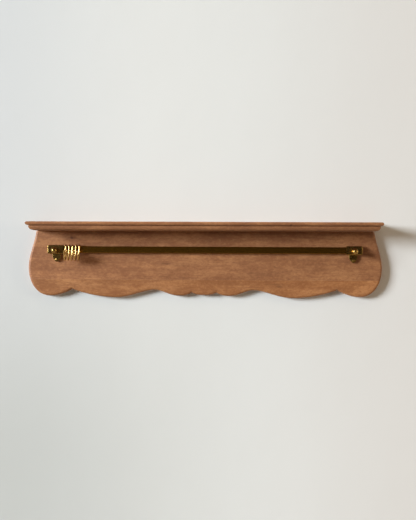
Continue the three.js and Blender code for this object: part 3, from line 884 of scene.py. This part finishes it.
# the profile is (radius, distance from the backboard's face) in millimetres
def ballScrew(name, x, ballZ, plan):
    face = -boardFront / mm
    radius, neck, shank, tip = plan["radius"], plan["neck"], plan["shank"], plan["tip"]
    shoulder, flange, edge = plan["shoulder"], plan["flange"], plan["edge"]
    flangeTop = shoulder + plan["flangeTop"]
    profile = [(0, tip), (shank, tip), (shank, shoulder), (flange - edge, shoulder)]
    profile += [(flange, shoulder + edge), (flange, flangeTop - edge), (flange - edge, flangeTop)]
    profile += [(neck + wider, shoulder + out) for wider, out in plan["throat"]]
    start = -math.degrees(math.acos(neck / radius))
    profile += arc(0, plan["centre"], radius, start, 90, 26)
    places = [(r * mm, (face + d) * mm) for r, d in profile]
    return toObject(turnedSolid(places, x, ballZ, plan["segments"]), name)


bracketBrass = brassMaterial("brassBracket", brassLooks["bracket"])
for word, side in (("left", -1), ("right", 1)):
    ballLow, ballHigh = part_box(word + "_ball_screw")
    x, ballZ = (ballLow.x + ballHigh.x) / 2, (ballLow.z + ballHigh.z) / 2
    base = bracketBase(word + "BracketBase", word + "_bracket_base", x, side, bracketPlan)
    finishPiece(base, mainBody, "aged_brass", bracketBrass, word + "_bracket_base")
    cap = railCap(word + "RailCap", word + "_rail_cap", x, side, ballZ, bracketPlan)
    finishPiece(cap, mainBody, "aged_brass", bracketBrass, word + "_rail_cap")
    ball = ballScrew(word + "BallScrew", x, ballZ, ballPlan)
    finishPiece(ball, word + "_ball_screw", "aged_brass", bracketBrass, word + "_ball_screw")
print("rail and brackets made")


# screws, repeated over points

def geometryTree(name, inputs):
    tree = bpy.data.node_groups.new(name, "GeometryNodeTree")
    tree.interface.new_socket(name="Geometry", in_out="INPUT", socket_type="NodeSocketGeometry")
    for label, kind, value in inputs:
        socket = tree.interface.new_socket(name=label, in_out="INPUT", socket_type=kind)
        if value is not None:
            socket.default_value = value
    tree.interface.new_socket(name="Geometry", in_out="OUTPUT", socket_type="NodeSocketGeometry")
    return tree, tree.nodes.new("NodeGroupInput").outputs, tree.nodes.new("NodeGroupOutput")


# the end of both trees: what was repeated or drawn becomes plain mesh in its finish
def finishTree(tree, geometry, finish, end):
    solid = addNode(tree, "GeometryNodeRealizeInstances", {"Geometry": geometry})
    inputs = {"Geometry": solid.outputs[0], "Material": finish}
    finished = addNode(tree, "GeometryNodeSetMaterial", inputs)
    tree.links.new(finished.outputs[0], end.inputs[0])


def meshObject(name, places, edges):
    mesh = bpy.data.meshes.new(name)
    mesh.from_pydata(places, edges, [])
    made = bpy.data.objects.new(name, mesh)
    bpy.context.scene.collection.objects.link(made)
    return made


def runTree(made, tree, values):
    modifier = made.modifiers.new("build", "NODES")
    modifier.node_group = tree
    for item in tree.interface.items_tree:
        if item.in_out == "INPUT" and item.name in values:
            modifier[item.identifier] = values[item.name]
    settle(made)


# puts a copy of one screw on every point, each turned by chance about its own axis
def screwTree():
    inputs = [
        ("Screw", "NodeSocketObject", None), ("Scale", floatSocket, 1.0),
        ("Seed", "NodeSocketInt", 3), ("Finish", "NodeSocketMaterial", None),
    ]
    tree, start, end = geometryTree("screwsOnPoints", inputs)
    screw = addNode(tree, "GeometryNodeObjectInfo", {"Object": start["Screw"]})
    # the random value node keeps the sockets of every data type: floats are 2 and 3, and output 1
    limits = {2: 0.0, 3: math.pi, "Seed": start["Seed"]}
    turn = addNode(tree, "FunctionNodeRandomValue", limits, data_type="FLOAT")
    spin = addNode(tree, "ShaderNodeCombineXYZ", {1: turn.outputs[1]})
    placed = addNode(tree, "GeometryNodeInstanceOnPoints", {
        "Points": start["Geometry"], "Instance": screw.outputs["Geometry"],
        "Rotation": spin.outputs[0], "Scale": start["Scale"],
    })
    finishTree(tree, placed.outputs[0], start["Finish"], end)
    return tree


# lengths in millimetres; dome is how far the head stands proud of its rim
screwPlan = {
    "tab": {
        "head": 3.8, "dome": 1.3, "depth": 2.3, "shank": 1.8, "length": 14.0, "point": 3,
        "slotWidth": 1.1, "slotDepth": 0.9, "cross": False,
    },
    "plate": {
        "head": 3.2, "dome": 0.0, "depth": 1.8, "shank": 1.5, "length": 12.0, "point": 3,
        "slotWidth": 0.9, "slotDepth": 0.9, "cross": True,
    },
}
headRim = ((-0.15, -0.25), (0.0, -0.1), (-0.1, 0.0))  # (change of radius, height)
domeShares = (0.85, 0.65, 0.45, 0.25, 0.1)


# one screw at the origin, its head facing the front, with a slot or a cross in it
def oneScrew(plan):
    head, dome, shank, tip = plan["head"], plan["dome"], plan["shank"], -plan["length"]
    profile = [(0, tip), (shank * 0.3, tip), (shank, tip + plan["point"]), (shank, -plan["depth"])]
    profile += [(head + wider, height) for wider, height in headRim]
    profile += [(head * share, dome * (1 - share * share)) for share in domeShares]
    places = [(r * mm, d * mm) for r, d in profile + [(0, dome)]]
    made = toObject(turnedSolid(places, 0, 0, 32), "screw")
    top, deep = (dome + 1) * mm, (dome - plan["slotDepth"]) * mm
    wide = plan["slotWidth"] / 2 * mm
    reach = head * (0.6 if plan["cross"] else 1.5) * mm
    cuts = [(reach, wide), (wide, reach)] if plan["cross"] else [(reach, wide)]
    for x, z in cuts:
        combine(made, toObject(boxSolid((-x, -top, -z), (x, -deep, z)), "slot"), "DIFFERENCE")
    return made


# the head's face is turned towards the front, or with `turned` towards the wall
def screwSet(name, plan, places, tree, finish, turned=False):
    pattern = oneScrew(plan)
    if turned:
        pattern.data.transform(Matrix.Rotation(math.pi, 4, "Z"))
    made = meshObject(name, [tuple(p) for p in places], [])
    runTree(made, tree, {"Screw": pattern, "Scale": 1.0, "Seed": 4, "Finish": finish})
    bpy.data.objects.remove(pattern)
    return made


def headPlace(node, dome=0.0):
    low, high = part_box(node)
    return Vector(((low.x + high.x) / 2, low.y + dome * mm, (low.z + high.z) / 2))


# a screw let into the back has its head's face just under the plate's
def backPlace(node, sunk=0.02 * mm):
    low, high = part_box(node)
    return Vector(((low.x + high.x) / 2, high.y - sunk, (low.z + high.z) / 2))


screwsOnPoints = screwTree()
zinc = zincMaterial()
tabNodes = ["left_tab_screw", "right_tab_screw"]
tabPlaces = [headPlace(node, screwPlan["tab"]["dome"]) for node in tabNodes]
tabScrews = screwSet("tabScrews", screwPlan["tab"], tabPlaces, screwsOnPoints, bracketBrass)
finishPiece(tabScrews, mainBody, "aged_brass", bracketBrass, *tabNodes)
plateNodes = [f"{word}_keyhole_screw_{i}" for word in ("left", "right") for i in (1, 2)]
platePlaces = [backPlace(node) for node in plateNodes]
plateScrews = screwSet("plateScrews", screwPlan["plate"], platePlaces, screwsOnPoints, zinc, True)
finishPiece(plateScrews, mainBody, "zinc_steel", zinc, *plateNodes)
print("screws made")


# S-hooks

# millimetres; the bowl's two curves are given out from the board's front and up from the rail's middle
hookPlan = {
    "wire": 1.9, "slim": 0.99, "top": 4.2, "topCentre": 7.4, "rearTip": -3.8, "lean": 0.14, "stem": 11,
    "bowl": (((16.2, -15.8), (18.7, -28.6), (25, -28.6)), ((32.1, -28.6), (35.3, -20.8), (37.1, -11.5))),
    "tip": (39.07, -1.88), "steps": 24, "turns": (0.4, -0.7, 0.3, -0.8, 0.7),
}


# Wire that follows a drawn line. Its girth falls off as a circle does over the last radius of each
# end, and stops a little short of nothing.
def wireTree():
    inputs = [
        ("Wire Radius", floatSocket, 0.0019), ("Step", floatSocket, 0.0005),
        ("Sides", "NodeSocketInt", 20), ("Finish", "NodeSocketMaterial", None),
    ]
    tree, start, end = geometryTree("bentWire", inputs)
    line = addNode(tree, "GeometryNodeMeshToCurve", {"Mesh": start["Geometry"]})
    evenInputs = {"Curve": line.outputs[0], "Length": start["Step"]}
    even = addNode(tree, "GeometryNodeResampleCurve", evenInputs, mode="LENGTH")
    along = addNode(tree, "GeometryNodeSplineParameter").outputs["Length"]
    whole = addNode(tree, "GeometryNodeSplineLength").outputs["Length"]
    toEnd = maths(tree, "MINIMUM", along, maths(tree, "SUBTRACT", whole, along))
    share = maths(tree, "DIVIDE", toEnd, start["Wire Radius"])
    inside = maths(tree, "SUBTRACT", 1.0, share, clamp=True)
    girth = maths(tree, "SQRT", maths(tree, "SUBTRACT", 1.02, times(tree, inside, inside)))
    girth = maths(tree, "MINIMUM", girth, 1.0)
    ringInputs = {"Resolution": start["Sides"], "Radius": start["Wire Radius"]}
    ring = addNode(tree, "GeometryNodeCurvePrimitiveCircle", ringInputs)
    tube = addNode(tree, "GeometryNodeCurveToMesh", {
        "Curve": even.outputs[0], "Profile Curve": ring.outputs[0], "Scale": girth, "Fill Caps": True,
    })
    finishTree(tree, tube.outputs[0], start["Finish"], end)
    return tree


# the wire's middle line: (distance from the wall, height above the rail's middle) in millimetres
def hookLine(barMiddle, plan):
    face, lean = -boardFront / mm, plan["lean"]
    line = [(barMiddle - plan["top"], plan["rearTip"])]
    line += arc(barMiddle, plan["topCentre"], plan["top"], 180, math.degrees(lean), plan["steps"])
    out, rise = line[-1]
    line.append((out + plan["stem"] * math.sin(lean), rise - plan["stem"] * math.cos(lean)))
    for curve in plan["bowl"]:
        line += cubic(line[-1], *((face + out, rise) for out, rise in curve), plan["steps"])
    return line + [(face + plan["tip"][0], plan["tip"][1])]


# each hook is turned a little about its stem, as none hangs quite square to the rail
def sHook(name, node, turn, plan, tree, finish):
    low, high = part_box(node)
    x, barMiddle = (low.x + high.x) / 2, -(railLow.y + railHigh.y) / 2 / mm
    stem = barMiddle + plan["top"]
    line = hookLine(barMiddle, plan)
    places = [(0, (stem - distance) * mm, railZ + rise * mm) for distance, rise in line]
    made = meshObject(name, places, [(i, i + 1) for i in range(len(places) - 1)])
    spin = Matrix.Rotation(math.radians(turn), 4, "Z")
    made.data.transform(Matrix.Translation((x, -stem * mm, 0)) @ spin)
    runTree(made, tree, {"Wire Radius": plan["wire"] * mm * plan["slim"], "Finish": finish})
    return made


bentWire = wireTree()
hookBrass = brassMaterial("brassHook", brassLooks["hook"])
for i, turn in enumerate(hookPlan["turns"], start=1):
    made = sHook(f"sHook{i}", f"s_hook_{i}", turn, hookPlan, bentWire, hookBrass)
    finishPiece(made, f"s_hook_{i}", "hook_brass", hookBrass, f"s_hook_{i}")
print("hooks made")


# parts kept as they are, in better finishes

beech = beechMaterial()
keptNodes = {"shelf_dowel": beech, "keyhole_plate": zinc, "hidden_screw": bracketBrass}
for name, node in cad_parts.items():
    for word, finish in keptNodes.items():
        if word in name:
            node.data.materials.clear()
            node.data.materials.append(finish)
